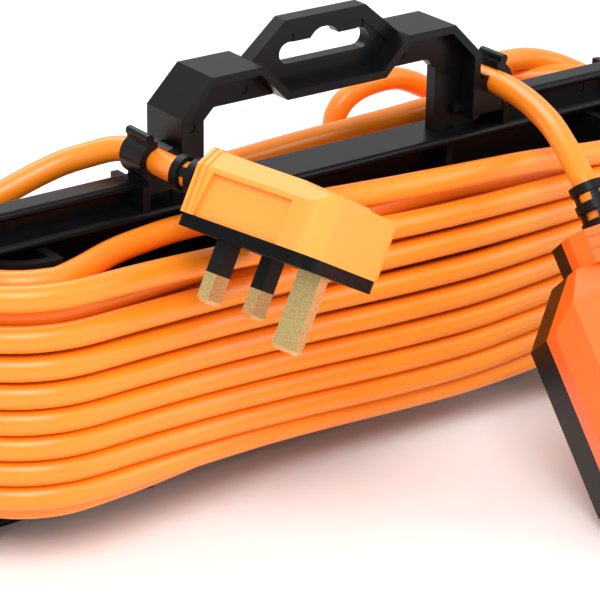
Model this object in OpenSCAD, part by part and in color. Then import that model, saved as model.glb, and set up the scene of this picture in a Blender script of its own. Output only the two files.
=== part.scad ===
// Mains extension lead on a flat H-frame carrier with a handle.
// +X runs along the bars, -Y is the front, +Z is up. The origin is the middle
// of the bottom bar's foot.

/* [Carrier] */
// Length of the top and bottom bars
bar_length = 340; // [310:5:420]
// Depth of the bar plates and of the handle's flange
frame_depth = 18.5; // [16:0.5:22]
// Height of the cable bay between the two bar plates
bay_height = 77; // [60:1:95]
// Height of one bar, from its plate to the outside of its bead
bar_height = 11; // [9:0.5:16]
// Thickness of the bar plates
plate_t = 3; // [2:0.25:4]
// Thickness of the upright web of the bars and the bay
web_t = 3; // [2:0.25:5]
// Depth of the bead along the outside of each bar
bead_depth = 9; // [6:0.5:12]
// Height of the bead along the outside of each bar
bead_height = 3; // [2:0.25:4]
// Thickness of the stiffening ribs
rib_t = 2.5; // [1.5:0.25:4]
// Distance from the middle to the centre of each end saddle
saddle_x = 106; // [98:1:115]
// Outer radius of the end saddles that the cable bends round
saddle_r = 18.5; // [15:0.5:19]
// Wall of the end saddles
saddle_wall = 3; // [2:0.25:5]

/* [Handle] */
// Half the width of the handle over its legs
handle_half = 56.7; // [50:0.5:64]
// Height of the handle's shoulders above the top bar
handle_rise = 28.8; // [26:0.2:40]
// Size of the chamfer between each leg and shoulder
handle_chamfer = 10.9; // [8:0.1:13]
// Half the distance between the two shoulders
shoulder_x = 27.3; // [24:0.1:30]
// Depth of the sloped step from shoulder to grip
grip_drop = 9.6; // [7:0.1:11]
// Thickness of the handle's flange
flange_t = 2.5; // [1.5:0.1:4]
// Thickness of the handle's web
handle_web_t = 4; // [3:0.25:6]
// Width of each leg, from its outer face to the hand gap
leg_width = 12.7; // [9:0.1:16]
// Length of the slot for hanging the lead on a hook
hang_slot_length = 33.8; // [24:0.2:36]
// Height of the slot for hanging the lead on a hook
hang_slot_height = 6.5; // [5:0.1:8]
// Radius of the hump above the hanging slot
hang_hump_r = 6.2; // [5:0.1:7]

/* [Cable] */
// Outer diameter of the round three-core cable
cable_d = 7.8; // [6.5:0.1:8.4]
// Clearance between the cable and a clip or a bush
cable_gap = 0.3; // [0.1:0.05:0.5]
// Wall of the two cable clips
clip_wall = 2.1; // [1.5:0.1:2.6]
// Length of the two cable clips
clip_length = 11; // [8:0.5:16]

/* [Plug] */
// Length of the plug's body
plug_length = 45.5; // [44:0.5:52]
// Width of the plug's body
plug_width = 40; // [39:0.5:44]
// Height of the plug's cover above the face that meets the wall
plug_height = 23; // [22.5:0.25:27]
// Thickness of the plug's base
plug_base_t = 3.75; // [3.5:0.25:6]
// Wall of the plug's cover
plug_wall = 1.8; // [1.4:0.1:2.2]
// Distance between the live and neutral pins, and from their line to the earth pin
pin_pitch = 22.2; // [22.2:0.1:22.3]
// Length of the live and neutral pins
pin_length = 17.7; // [17.2:0.1:18.2]
// Length of the earth pin
earth_pin_length = 22.7; // [22.2:0.1:23.2]
// Length of the insulating sleeve on the live and neutral pins
sleeve_length = 9.3; // [8:0.1:9.5]

/* [Socket] */
// Length of the socket's body without its collar
socket_length = 76; // [74:0.5:90]
// Width of the socket's body
socket_width = 62; // [60:0.5:72]
// Thickness of the socket's body
socket_height = 34; // [33:0.5:40]
// Height of the parting line between the socket's base and cover
socket_split = 16.5; // [15:0.5:18]
// Wall of the socket's two shells
socket_wall = 2.2; // [1.6:0.1:2.6]
// Length of the collar that grips the socket's cable
collar_length = 10; // [8:0.5:14]
// Travel of the safety shutter
shutter_travel = 5.5; // [4.8:0.1:6]

/* [Hidden] */
$fn = 48;

// Colours of the mouldings and metals
black = "#1c1c1f";
orange = "#ff8a24";
brass = "#c8a85a";
steel = "#b8bcc0";
ivory = "#ece6d8";

// ---- Carrier sizes ----
low_plate_z = bar_height;
high_plate_z = bar_height + bay_height;
bar_top = high_plate_z + bar_height;
shoulder_z = bar_top + handle_rise;
grip_z = shoulder_z - grip_drop;
hand_gap_z = grip_z - flange_t;
tab_bead_r = 2.8;
tab_t = 4.4;
tab_top_x = 14;
tab_low_x = shoulder_x - 1.8;
tab_top_z = shoulder_z + 7.6;
tab_low_z = shoulder_z - 2.1;
slot_z = shoulder_z - 0.2;
rib_x = handle_half + cable_d + 3;
upright_x = 46;

// ---- Cable clips ----
clip_bore_r = cable_d / 2 + cable_gap;
clip_r = clip_bore_r + clip_wall;
clip_x = handle_half + clip_r + 1.5;
clip_z = bar_top + clip_r + 0.2;
clip_y = -2.9;
clip_y0 = clip_y - clip_length / 2;
clip_y1 = clip_y + clip_length / 2;

// ---- Cord winding: layers round the end saddles ----
cable_r = cable_d / 2;
wind_gap = 0.4;
wind_in_r = saddle_r + wind_gap;
wind_out_r = wind_in_r + cable_d * 2.84;
wind_in_mid = frame_depth / 2 + 2.6;
wind_out_mid = wind_in_mid + cable_d * 3.1;

// ---- Plug, in its own frame: +X away from the cable, +Z away from the pins ----
plug_origin = [-64.6, -55.5, 93.5];
plug_turn = [-30, 1.5, -75.5];
plug_x0 = -13;
plug_x1 = plug_x0 + plug_length;
plug_half = plug_width / 2;
plug_cord_z = 14.5;
plug_collar_x = plug_x0 + 3.8;
plug_block_x = plug_x0 + 34;
boot_length = 20;
boot_bore_r = cable_r + cable_gap / 2;
boot_r = cable_r + 1.6;
boot_flange = 1;
pin_y = pin_pitch / 2;
pin_w = 6.35;
pin_t = 3.97;
earth_w = 7.93;
neck_w = 5.35;
neck_t = 2.97;
block_top = plug_base_t + 7;
screw_r = 1.5;
head_r = 2.4;
grip_x = plug_x0 + 6.5;
grip_w = 4;
grip_screw_y = 8.5;
cord_stop_x = grip_x + grip_w / 2 + 1.6;
fuse_r = 3.15;
fuse_len = 25.4;
fuse_x = -1.2;
fuse_y = -pin_y - 1;
fuse_z = plug_base_t + 1 + fuse_r + 0.6;
cover_screw_x = 10.6;
core_r = 1.2;
core_z = plug_cord_z + 1;

// ---- Socket, in its own frame: +X away from the cable, +Z out of the face ----
socket_origin = [54.8, -71.2, 64.1];
socket_turn = [18, 50.7, -90.3];
socket_half = socket_width / 2;
socket_cord_z = 15;
shoulder_half = 17;
shoulder_len = 16;
end_cut = 7;
collar_half = 15;
collar_z0 = 4;
collar_z1 = 27;
face_z = socket_height;
socket_boot = 14.5;
earth_x = socket_length - 46;
line_x = earth_x + pin_pitch;
aperture_clear = 0.6;
shutter_t = 1.8;
shutter_gap = 0.4;
shutter_z = face_z - socket_wall - shutter_gap - shutter_t;
contact_z = 6;
sgrip_x = 2.6;
sgrip_screw_y = 9;
spring_r = 2.4;
spring_wire = 0.4;
spring_x = line_x + 4.5;
spring_len = 11;

// ---- Cord routes, middle of the cable ----
plug_tail_route = [
    [-119, 31.5, 84.7], [-109, 28, 88], [-99, 24.6, 91.6], [-89, 22.8, 96], [-80, 20, 99.6], [-73, 15.5, 102.3],
    [-68, 11, 104.4]
];
socket_tail_route = [
    [130, 36, 84], [117, 37, 91.5], [104, 34, 93.6], [91.5, 29.5, 96], [81, 24, 98.8], [73, 17.5, 101.8],
    [67.6, 11, 104.4]
];
socket_front_route = [[63.6, -20, 104.8], [60, -34, 103.8], [55.4, -48, 101.4]];
back_loop_route = [
    [112, 36, 80], [104, 41, 80.5], [94, 43.5, 82], [80.5, 44.5, 85.6], [66, 44.6, 91.8], [58, 44.6, 92.2],
    [50, 44.6, 91], [43.6, 44.6, 87.6], [40.2, 44.6, 82.2], [41, 44.5, 76], [46.5, 44.3, 71.2],
    [56, 44.2, 67.8], [68, 42, 65], [82, 36, 62]
];

// ---------------------------------------------------------------- functions

// Turns v about X, then Y, then Z by the angles a
function turned(v, a) =
    let (
        p = [v[0], v[1] * cos(a[0]) - v[2] * sin(a[0]), v[1] * sin(a[0]) + v[2] * cos(a[0])],
        q = [p[0] * cos(a[1]) + p[2] * sin(a[1]), p[1], -p[0] * sin(a[1]) + p[2] * cos(a[1])]
    )
    [q[0] * cos(a[2]) - q[1] * sin(a[2]), q[0] * sin(a[2]) + q[1] * cos(a[2]), q[2]];

function plug_point(v) = plug_origin + turned(v, plug_turn);
function socket_point(v) = socket_origin + turned(v, socket_turn);
function unit(v) = v / norm(v);

// One point of the smooth curve between b and c, where u goes from 0 to 1
function smooth_point(a, b, c, d, u) =
    0.5 * (2 * b + (c - a) * u + (2 * a - 5 * b + 4 * c - d) * u * u
        + (3 * b - a - 3 * c + d) * u * u * u);

// The smooth curve through a route's points, n steps to each stretch
function smooth_route(route, n) =
    let (last = len(route) - 1)
    [
        for (i = [0 : last - 1], j = [0 : n - 1])
            smooth_point(
                i == 0 ? 2 * route[0] - route[1] : route[i - 1], route[i], route[i + 1],
                i == last - 1 ? 2 * route[last] - route[last - 1] : route[i + 2], j / n
            ),
        route[last]
    ];

// Direction of a path at its point i
function heading(path, i) =
    unit(path[min(i + 1, len(path) - 1)] - path[max(i - 1, 0)]);

// ---------------------------------------------------------------- helpers

// A closed tube of radius r along a path; side is a direction the path never takes
module tube(path, r, sides, side) {
    rings = len(path);
    points = [
        for (i = [0 : rings - 1])
            let (t = heading(path, i), a = unit(cross(t, side)), b = cross(a, t))
            for (k = [0 : sides - 1])
                path[i] + r * (cos(360 * k / sides) * a + sin(360 * k / sides) * b)
    ];
    walls = [
        for (i = [0 : rings - 2], k = [0 : sides - 1], half = [0, 1])
            let (m = (k + 1) % sides, a = i * sides, b = a + sides)
            half == 0 ? [a + k, a + m, b + m] : [a + k, b + m, b + k]
    ];
    start_cap = [[for (k = [sides - 1 : -1 : 0]) k]];
    end_cap = [[for (k = [0 : sides - 1]) (rings - 1) * sides + k]];
    polyhedron(points, concat(walls, start_cap, end_cap), convexity = 6);
}

// An insulated core of the cable along a route
module core(route, side) {
    tube(smooth_route(route, 2), core_r, 8, side);
}

// A cylinder between x0 and x1 along the X axis
module rod_x(x0, x1, r) {
    translate([x0, 0, 0]) rotate([0, 90, 0]) cylinder(h = x1 - x0, r = r);
}

// A cylinder along the Y axis, centred on it
module rod_y(length, r) {
    rotate([90, 0, 0]) cylinder(h = length, r = r, center = true);
}

// An XZ outline given thickness t about the middle plane
module wall_y(t) {
    rotate([90, 0, 0]) linear_extrude(t, center = true) children();
}

// A YZ outline carried along X from x0 to x1
module along_x(x0, x1) {
    translate([x0, 0, 0]) rotate([90, 0, 90]) linear_extrude(x1 - x0) children();
}

module box(low, high) {
    translate(low) cube(high - low);
}

// A slotted screw standing on z = 0, its shank going down
module screw(shank, r, head, head_h) {
    difference() {
        union() {
            cylinder(h = head_h, r = head);
            translate([0, 0, -shank]) cylinder(h = shank, r = r);
        }
        box([-head - 1, -0.4, head_h * 0.5], [head + 1, 0.4, head_h + 1]);
    }
}

module in_plug() {
    translate(plug_origin) rotate(plug_turn) children();
}

module in_socket() {
    translate(socket_origin) rotate(socket_turn) children();
}

// ---------------------------------------------------------------- carrier

// Section of a bar: plate with round rims at z = 0, web, and bead at the top
module bar_section(beaded) {
    rim = plate_t / 2;
    half = frame_depth / 2;
    translate([-half + rim, 0]) square([2 * (half - rim), plate_t]);
    for (s = [-1, 1]) translate([s * (half - rim), rim]) circle(r = rim);
    if (beaded) {
        bead = bead_height / 2;
        translate([-web_t / 2, 0]) square([web_t, bar_height - bead]);
        translate([-bead_depth / 2 + bead, bar_height - bead_height])
            square([bead_depth - 2 * bead, bead_height]);
        for (s = [-1, 1])
            translate([s * (bead_depth / 2 - bead), bar_height - bead]) circle(r = bead);
    }
}

// Half of the handle's outline from the bar up to the grip, moved inward by t
function handle_side(t) =
    let (k = tan(22.5), z = shoulder_z - handle_chamfer)
    [
        [handle_half - t, bar_top - bar_height],
        [handle_half - t, z - k * t],
        [handle_half - handle_chamfer - k * t, shoulder_z - t],
        [shoulder_x + k * t, shoulder_z - t],
        [shoulder_x - grip_drop + k * t, grip_z - t]
    ];

function mirrored(points) = [for (i = [len(points) - 1 : -1 : 0]) [-points[i][0], points[i][1]]];

module handle_outline(t) {
    polygon(concat(handle_side(t), mirrored(handle_side(t))));
}

// The space for the hand, with small chamfers at its upper corners
module hand_gap_outline() {
    x = handle_half - leg_width;
    cut = 3.5;
    polygon([
        [-x, bar_top - bar_height - 1], [x, bar_top - bar_height - 1], [x, hand_gap_z - cut],
        [x - cut, hand_gap_z], [-x + cut, hand_gap_z], [-x, hand_gap_z - cut]
    ]);
}

module hang_slot_outline() {
    r = hang_slot_height / 2;
    run = hang_slot_length / 2 - r;
    translate([-run, slot_z - r]) square([2 * run, 2 * r]);
    for (s = [-1, 1]) translate([s * run, slot_z]) circle(r = r);
    intersection() {
        translate([0, slot_z]) circle(r = hang_hump_r);
        translate([-hang_hump_r, slot_z]) square([2 * hang_hump_r, hang_hump_r]);
    }
}

// Left half of the tab's outline, moved outward by t
function tab_side(t) =
    let (a = atan2(tab_top_z - tab_low_z, tab_low_x - tab_top_x))
    [[-tab_low_x - t * sin(a), tab_low_z + t * cos(a)], [-tab_top_x - t * tan(a / 2), tab_top_z + t]];

module tab_outline(t) {
    side = tab_side(t);
    foot = [shoulder_x - grip_drop, grip_z - flange_t / 2];
    polygon([
        side[0], side[1], [-side[1][0], side[1][1]], [-side[0][0], side[0][1]],
        [foot[0] + t, foot[1]], [-foot[0] - t, foot[1]]
    ]);
}

module hang_tab() {
    difference() {
        wall_y(tab_t) tab_outline(0);
        wall_y(tab_t + 2) hang_slot_outline();
    }
    wall_y(2 * tab_bead_r) difference() {
        tab_outline(tab_bead_r);
        tab_outline(-1.5);
        translate([-50, 0]) square([100, tab_low_z - 1]);
    }
}

module handle() {
    difference() {
        union() {
            wall_y(frame_depth) difference() {
                handle_outline(0);
                handle_outline(flange_t);
                translate([-handle_half - 1, bar_top - bar_height - 1])
                    square([2 * handle_half + 2, bar_height - bead_height]);
            }
            wall_y(handle_web_t) difference() {
                handle_outline(flange_t / 2);
                hand_gap_outline();
            }
        }
        // The flange ends on the bar, so nothing of it stays across the hand gap
        wall_y(frame_depth + 2) polygon([
            [leg_width - handle_half, high_plate_z - 1], [handle_half - leg_width, high_plate_z - 1],
            [handle_half - leg_width, hand_gap_z - 4], [leg_width - handle_half, hand_gap_z - 4]
        ]);
    }
    hang_tab();
}

// Ring clip beside a leg, open towards the leg at the top, with a lead-in lip
module clip() {
    lip_h = 1;
    translate([clip_x, clip_y, clip_z]) {
        difference() {
            rod_y(clip_length, clip_r);
            rod_y(clip_length + 2, clip_bore_r);
            wall_y(clip_length + 2) polygon([
                [0, clip_bore_r * 0.7], [0, clip_r + 1], [-clip_r - 1, clip_r + 1],
                [-clip_r - 1, clip_r * 0.62], [-clip_bore_r * 0.8, clip_r * 0.42]
            ]);
        }
        wall_y(clip_length) polygon([
            [0.1, clip_bore_r + 0.2], [1.6, clip_r + lip_h], [3.6, clip_r + lip_h], [3.2, clip_bore_r - 0.9]
        ]);
        translate([2.6, 0, clip_r + lip_h]) rod_y(clip_length, 1.4);
    }
    // Foot on the bar and bridge to the leg
    difference() {
        union() {
            box([handle_half - 0.5, clip_y0, bar_top - bead_height], [clip_x + 3.4, clip_y1, clip_z - 3]);
            box([handle_half - 0.5, clip_y0, clip_z - 4], [handle_half + 2.4, clip_y1, clip_z + 1.8]);
        }
        translate([clip_x, clip_y, clip_z]) rod_y(clip_length + 2, clip_bore_r);
    }
}

// Shallow round marks that the mould's ejector pins leave in the web
module ejector_marks(places, front) {
    depth = 0.35;
    for (p = places, s = [-1, 1])
        translate([s * p[0], 0, p[1]])
            rotate([90, 0, 0])
                translate([0, 0, front - depth]) cylinder(h = 1, r = 1.7, $fn = 24);
}

module beaded_bar() {
    half = bar_length / 2;
    along_x(-half, half) bar_section(true);
    // End plates and ribs across the channel
    for (s = [-1, 1], x = [rib_x, (rib_x + half) / 2 + 3, half - rib_t])
        along_x(s > 0 ? x : -x - rib_t, s > 0 ? x + rib_t : -x)
            translate([-frame_depth / 2 + 0.5, plate_t / 2])
                square([frame_depth - 1, bar_height - plate_t / 2 - 0.5]);
}

module saddle() {
    difference() {
        intersection() {
            cylinder(h = bay_height, r = saddle_r);
            box([-saddle_wall, -saddle_r - 1, -1], [saddle_r + 1, saddle_r + 1, bay_height + 1]);
        }
        difference() {
            translate([0, 0, -1]) cylinder(h = bay_height + 2, r = saddle_r - saddle_wall);
            box([-saddle_r, -saddle_r, -2], [0, saddle_r, bay_height + 3]);
            box([-1, -web_t / 2, -2], [saddle_r, web_t / 2, bay_height + 3]);
        }
    }
}

module carrier_frame() {
    color(black) difference() {
        union() {
            // Bottom bar, its bead downwards
            translate([0, 0, low_plate_z]) mirror([0, 0, 1]) beaded_bar();
            // Top bar, plain between the legs
            difference() {
                translate([0, 0, high_plate_z]) beaded_bar();
                gap = handle_half - leg_width / 2;
                box([-gap, -frame_depth, high_plate_z + plate_t], [gap, frame_depth, bar_top + 1]);
            }
            handle();
            // Web and uprights of the cable bay
            box([-saddle_x, -web_t / 2, low_plate_z], [saddle_x, web_t / 2, high_plate_z]);
            for (s = [-1, 1]) {
                box(
                    [s * upright_x - rib_t / 2, -frame_depth / 2 + 1, low_plate_z - 1],
                    [s * upright_x + rib_t / 2, frame_depth / 2 - 1, high_plate_z + 1]
                );
                translate([s * saddle_x, 0, low_plate_z])
                    mirror([s < 0 ? 1 : 0, 0, 0]) saddle();
            }
            clip();
            mirror([1, 0, 0]) clip();
        }
        mark_z = high_plate_z + plate_t + (bar_height - plate_t - bead_height) / 2;
        ejector_marks([[rib_x - 6, mark_z], [rib_x + 40, mark_z], [rib_x + 88, mark_z]], web_t / 2);
        ejector_marks(
            [[handle_half - 6.5, bar_top - 8], [handle_half - 8, shoulder_z - 17], [30, shoulder_z - 8.4]],
            handle_web_t / 2
        );
        ejector_marks([[13, shoulder_z + 4.4]], tab_t / 2);
    }
}

// ---------------------------------------------------------------- cord

// Plan of the winding: round ends at the saddles, a waist in the middle
module winding_plan(end_r, mid_y) {
    waist = saddle_x * 0.35;
    for (s = [-1, 1]) translate([s * saddle_x, 0]) circle(r = end_r, $fn = 96);
    polygon([
        [-saddle_x, -end_r], [-waist, -mid_y], [waist, -mid_y], [saddle_x, -end_r],
        [saddle_x, end_r], [waist, mid_y], [-waist, mid_y], [-saddle_x, end_r]
    ]);
}

module cord_winding() {
    color(orange) translate([0, 0, low_plate_z]) linear_extrude(bay_height) difference() {
        winding_plan(wind_out_r, wind_out_mid);
        winding_plan(wind_in_r, wind_in_mid);
    }
}

module cord_plug_tail() {
    path = smooth_route(concat(
        plug_tail_route,
        [[-clip_x, clip_y1 + 0.4, clip_z], [-clip_x, clip_y0 + 1.4, clip_z]],
        [plug_point([plug_x0 - boot_length - 3, 0, plug_cord_z]), plug_point([cord_stop_x, 0, plug_cord_z])]
    ), 2);
    color(orange) tube(path, cable_r, 12, [0, 0, 1]);
}

module cord_socket_tail() {
    path = smooth_route(concat(
        socket_tail_route,
        [[clip_x, clip_y1 + 0.4, clip_z], [clip_x, clip_y0 - 0.6, clip_z]],
        socket_front_route,
        [
            socket_point([-collar_length - socket_boot - 2, 0, socket_cord_z]),
            socket_point([sgrip_x + 6, 0, socket_cord_z])
        ]
    ), 2);
    color(orange) tube(path, cable_r, 12, [0, 0, 1]);
}

module cord_back_loop() {
    color(orange) tube(smooth_route(back_loop_route, 2), cable_r, 12, [0, 1, 0]);
}

// ---------------------------------------------------------------- plug

// Plan of the plug's body, drawn in by t, round at its far corners
module plug_plan(t) {
    r = 7 - t;
    half = plug_half - t;
    x0 = plug_x0 + t;
    x1 = plug_x1 - t;
    translate([x0, -half]) square([x1 - r - x0, 2 * half]);
    translate([x0, r - half]) square([x1 - x0, 2 * (half - r)]);
    for (s = [-1, 1]) translate([x1 - r, s * (half - r)]) circle(r = r);
}

// The cover as a solid block, every face drawn in by t
module plug_cover_block(t) {
    top = plug_height - t;
    edge = 4 - t / 2;
    intersection() {
        translate([0, 0, plug_base_t]) linear_extrude(plug_height) plug_plan(t);
        along_x(plug_x0, plug_x1) polygon([
            [t - plug_half, 0], [t - plug_half, top - 1.3 * edge], [t - plug_half + edge, top],
            [plug_half - t - edge, top], [plug_half - t, top - 1.3 * edge], [plug_half - t, 0]
        ]);
        wall_y(plug_width) polygon([
            [plug_x0, 0], [plug_x0, top], [plug_block_x, top - 0.4], [plug_block_x + 0.8, top - 1.1],
            [plug_x1, top - 2], [plug_x1, 0]
        ]);
    }
}

// Holes for the three pins through the base
module pin_holes() {
    for (s = [-1, 1])
        box([-pin_t / 2, s * pin_y - pin_w / 2, -1], [pin_t / 2, s * pin_y + pin_w / 2, plug_base_t + 1]);
    box(
        [pin_pitch - earth_w / 2, -pin_t / 2, -1],
        [pin_pitch + earth_w / 2, pin_t / 2, plug_base_t + 1]
    );
}

module plug_base() {
    color(black) in_plug() difference() {
        union() {
            linear_extrude(plug_base_t) plug_plan(0.6);
            // Saddle under the cable and its two screw posts
            box([grip_x - grip_w / 2, -5, plug_base_t], [grip_x + grip_w / 2, 5, plug_cord_z]);
            for (s = [-1, 1])
                translate([grip_x, s * grip_screw_y, plug_base_t])
                    cylinder(h = plug_cord_z - plug_base_t, r = 2.6);
            // Stops that hold the boot's flange at the cable entry
            box([plug_x0 + 3.2, -6.5, plug_base_t], [plug_x0 + 4.2, 6.5, plug_cord_z]);
        }
        pin_holes();
        translate([0, 0, plug_cord_z]) rod_x(plug_x0, cord_stop_x + 1, boot_bore_r);
        for (s = [-1, 1])
            translate([grip_x, s * grip_screw_y, plug_base_t + 2]) cylinder(h = 20, r = screw_r);
        translate([cover_screw_x, 0, -1]) cylinder(h = 10, r = 2.1);
        translate([cover_screw_x, 0, -1]) cylinder(h = 3.2, r = 3.7);
    }
}

module plug_cover() {
    recess = 1.6;
    low = plug_base_t - 1;
    high = plug_height - 6.6;
    color(orange) in_plug() difference() {
        union() {
            difference() {
                plug_cover_block(0);
                plug_cover_block(plug_wall);
                // Finger recesses in both sides, their cable end slanted
                for (s = [-1, 1])
                    translate([0, s * (plug_half + 1), 0]) wall_y(2 * recess + 2) polygon([
                        [plug_collar_x + 0.3, low], [plug_collar_x + 2.4, high],
                        [plug_block_x, high], [plug_block_x, low]
                    ]);
            }
            // Backing behind the recesses keeps the wall's thickness
            for (s = [-1, 1])
                box(
                    [plug_collar_x, s > 0 ? plug_half - recess - plug_wall : -plug_half + recess, low + 1],
                    [plug_block_x + 1, s > 0 ? plug_half - recess : -plug_half + recess + plug_wall, high + 0.8]
                );
            // Raised strips round the cable end
            for (x = [plug_x0 + 0.5, plug_x0 + 2.6]) intersection() {
                difference() {
                    translate([0, 0, 0]) plug_cover_strip(0.5);
                    plug_cover_block(plug_wall);
                }
                box([x, -plug_width, plug_base_t], [x + 1.1, plug_width, plug_height + 2]);
            }
            // Post for the cover screw
            translate([cover_screw_x, 0, plug_base_t]) cylinder(h = plug_height - plug_base_t - 2, r = 3.2);
        }
        translate([cover_screw_x, 0, plug_base_t - 1]) cylinder(h = plug_height - plug_base_t - 2, r = screw_r);
        translate([0, 0, plug_cord_z]) rod_x(plug_x0 - 1, plug_x0 + 4, boot_r + 0.1);
    }
}

// Band that stands proud of the cover by t
module plug_cover_strip(t) {
    top = plug_height + t;
    along_x(plug_x0, plug_collar_x) polygon([
        [-plug_half - t, plug_base_t], [-plug_half - t, plug_height - 5.2], [-plug_half + 4, top],
        [plug_half - 4, top], [plug_half + t, plug_height - 5.2], [plug_half + t, plug_base_t]
    ]);
}

module plug_cover_screw() {
    color(steel) in_plug() translate([cover_screw_x, 0, 2.2]) mirror([0, 0, 1])
        screw(plug_height - 9, screw_r, 3.4, 1.7);
}

// A pin's end seen along its width, with a chamfered tip
module pin_blade(length, width, thick, from) {
    cut = 1.1;
    intersection() {
        box([-thick / 2, -width / 2, -length], [thick / 2, width / 2, from]);
        rotate([90, 0, 0]) linear_extrude(width + 1, center = true) polygon([
            [-thick / 2, from], [-thick / 2, cut - length], [cut - thick / 2, -length],
            [thick / 2 - cut, -length], [thick / 2, cut - length], [thick / 2, from]
        ]);
        along_x(-thick, thick) polygon([
            [-width / 2, from], [-width / 2, cut - length], [cut - width / 2, -length],
            [width / 2 - cut, -length], [width / 2, cut - length], [width / 2, from]
        ]);
    }
}

// Live or neutral pin: blade, thin neck under the sleeve, terminal block
module line_pin(s, block) {
    translate([0, s * pin_y, 0]) {
        intersection() {
            pin_blade(pin_length, pin_w, pin_t, plug_base_t);
            box([-pin_t, -pin_w, -pin_length], [pin_t, pin_w, -sleeve_length]);
        }
        box([-neck_t / 2, -neck_w / 2, -sleeve_length], [neck_t / 2, neck_w / 2, 0]);
        box([-pin_t / 2, -pin_w / 2, 0], [pin_t / 2, pin_w / 2, plug_base_t]);
        if (block) difference() {
            box([-3.8, -3.6, plug_base_t], [3.8, 3.6, block_top]);
            translate([2, 0, plug_base_t + 1]) cylinder(h = 10, r = screw_r);
        }
    }
}

module live_pin() {
    color(brass) in_plug() {
        line_pin(-1, false);
        // Bar that carries the fuse clip
        box([-pin_t / 2, -pin_y - 4.2, plug_base_t], [pin_t / 2, -pin_y + 3.2, plug_base_t + 1]);
    }
}

module neutral_pin() {
    color(brass) in_plug() line_pin(1, true);
}

module earth_pin() {
    color(brass) in_plug() translate([pin_pitch, 0, 0]) {
        rotate([0, 0, 90]) pin_blade(earth_pin_length, earth_w, pin_t, plug_base_t);
        difference() {
            box([-3.8, -3.6, plug_base_t], [3.8, 3.6, block_top]);
            translate([2, 0, plug_base_t + 1]) cylinder(h = 10, r = screw_r);
        }
    }
}

module pin_sleeve(s) {
    color(black) in_plug() translate([0, s * pin_y, 0]) difference() {
        box([-pin_t / 2, -pin_w / 2, -sleeve_length], [pin_t / 2, pin_w / 2, 0]);
        box([-neck_t / 2, -neck_w / 2, -sleeve_length - 1], [neck_t / 2, neck_w / 2, 1]);
    }
}

module live_pin_sleeve() {
    pin_sleeve(-1);
}

module neutral_pin_sleeve() {
    pin_sleeve(1);
}

module fuse_tube() {
    color(ivory) in_plug() translate([fuse_x, fuse_y, fuse_z]) rod_x(5.6, fuse_len - 5.6, fuse_r - 0.3);
}

module fuse_caps() {
    color(steel) in_plug() translate([fuse_x, fuse_y, fuse_z]) {
        rod_x(0, 5.6, fuse_r);
        rod_x(fuse_len - 5.6, fuse_len, fuse_r);
    }
}

// Two sprung cradles; the far one carries the live cable's terminal block
module fuse_clips() {
    inner = fuse_r + 0.02;
    outer = inner + 0.6;
    color(brass) in_plug() for (x = [0.8, 18.6]) translate([fuse_x + x, fuse_y, 0]) {
        difference() {
            translate([0, 0, fuse_z]) rod_x(0, 4, outer);
            translate([0, 0, fuse_z]) rod_x(-1, 5, inner);
            box([-1, -outer - 1, fuse_z + 1.6], [5, outer + 1, fuse_z + outer + 1]);
        }
        difference() {
            box([0, -outer, plug_base_t + (x < 5 ? 1 : 0)], [4, outer, fuse_z - 1.4]);
            translate([0, 0, fuse_z]) rod_x(-1, 5, inner);
        }
        // Strip under the fuse to the live terminal block
        if (x > 5) {
            box([0, -2, plug_base_t], [8, 2, plug_base_t + 0.8]);
            difference() {
                box([7.2, -3.5, plug_base_t], [11.6, 3.5, block_top]);
                translate([9.4, 1.7, plug_base_t + 1]) cylinder(h = 10, r = screw_r);
            }
        }
    }
}

module plug_terminal_screws() {
    color(steel) in_plug() for (p = [[2, pin_y], [pin_pitch + 2, 0], [fuse_x + 28, fuse_y + 1.7]])
        translate([p[0], p[1], block_top]) screw(4, screw_r - 0.02, head_r, 1.6);
}

module plug_cord_grip() {
    color(ivory) in_plug() difference() {
        box(
            [grip_x - grip_w / 2, -grip_screw_y - 3, plug_cord_z + 1.2],
            [grip_x + grip_w / 2, grip_screw_y + 3, plug_cord_z + cable_r + 1.2]
        );
        translate([0, 0, plug_cord_z]) rod_x(grip_x - 5, grip_x + 5, boot_bore_r);
        for (s = [-1, 1]) translate([grip_x, s * grip_screw_y, 0]) cylinder(h = 40, r = screw_r + 0.2);
    }
}

module plug_grip_screws() {
    color(steel) in_plug() for (s = [-1, 1])
        translate([grip_x, s * grip_screw_y, plug_cord_z + cable_r + 1.2])
            screw(9, screw_r - 0.02, 2, 0.8);
}

// Ribbed rubber boot on the cable, thick at the housing and thin at its end
module boot(length, seat, thick) {
    thin = cable_r + 0.9;
    rows = floor((length - 3) / 5.2);
    pitch = (length - 3) / rows;
    rib = pitch * 0.48;
    rotate([0, -90, 0]) difference() {
        rotate_extrude() difference() {
            union() {
                translate([0, -seat]) square([thick, seat]);
                translate([0, -seat]) square([thick + boot_flange, 1.2]);
                polygon([[0, 0], [thick, 0], [thin, length], [0, length]]);
                for (i = [0 : rows])
                    translate([0, 0.3 + i * pitch])
                        square([thick + 0.5 - (thick - thin) * i / (rows + 1), rib]);
            }
            translate([-1, -seat - 1]) square([1 + boot_bore_r, length + seat + 2]);
        }
        // Windows between the ribs let the boot bend
        for (i = [0 : rows - 1], a = [45 : 90 : 315])
            rotate([0, 0, a])
                translate([boot_bore_r - 1.5, -2.3, i * pitch + rib + 0.55])
                    cube([6, 4.6, pitch - rib - 0.5]);
    }
}

module plug_strain_relief() {
    color(black) in_plug() translate([plug_x0, 0, plug_cord_z]) boot(boot_length, plug_wall + 1.25, boot_r);
}

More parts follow.
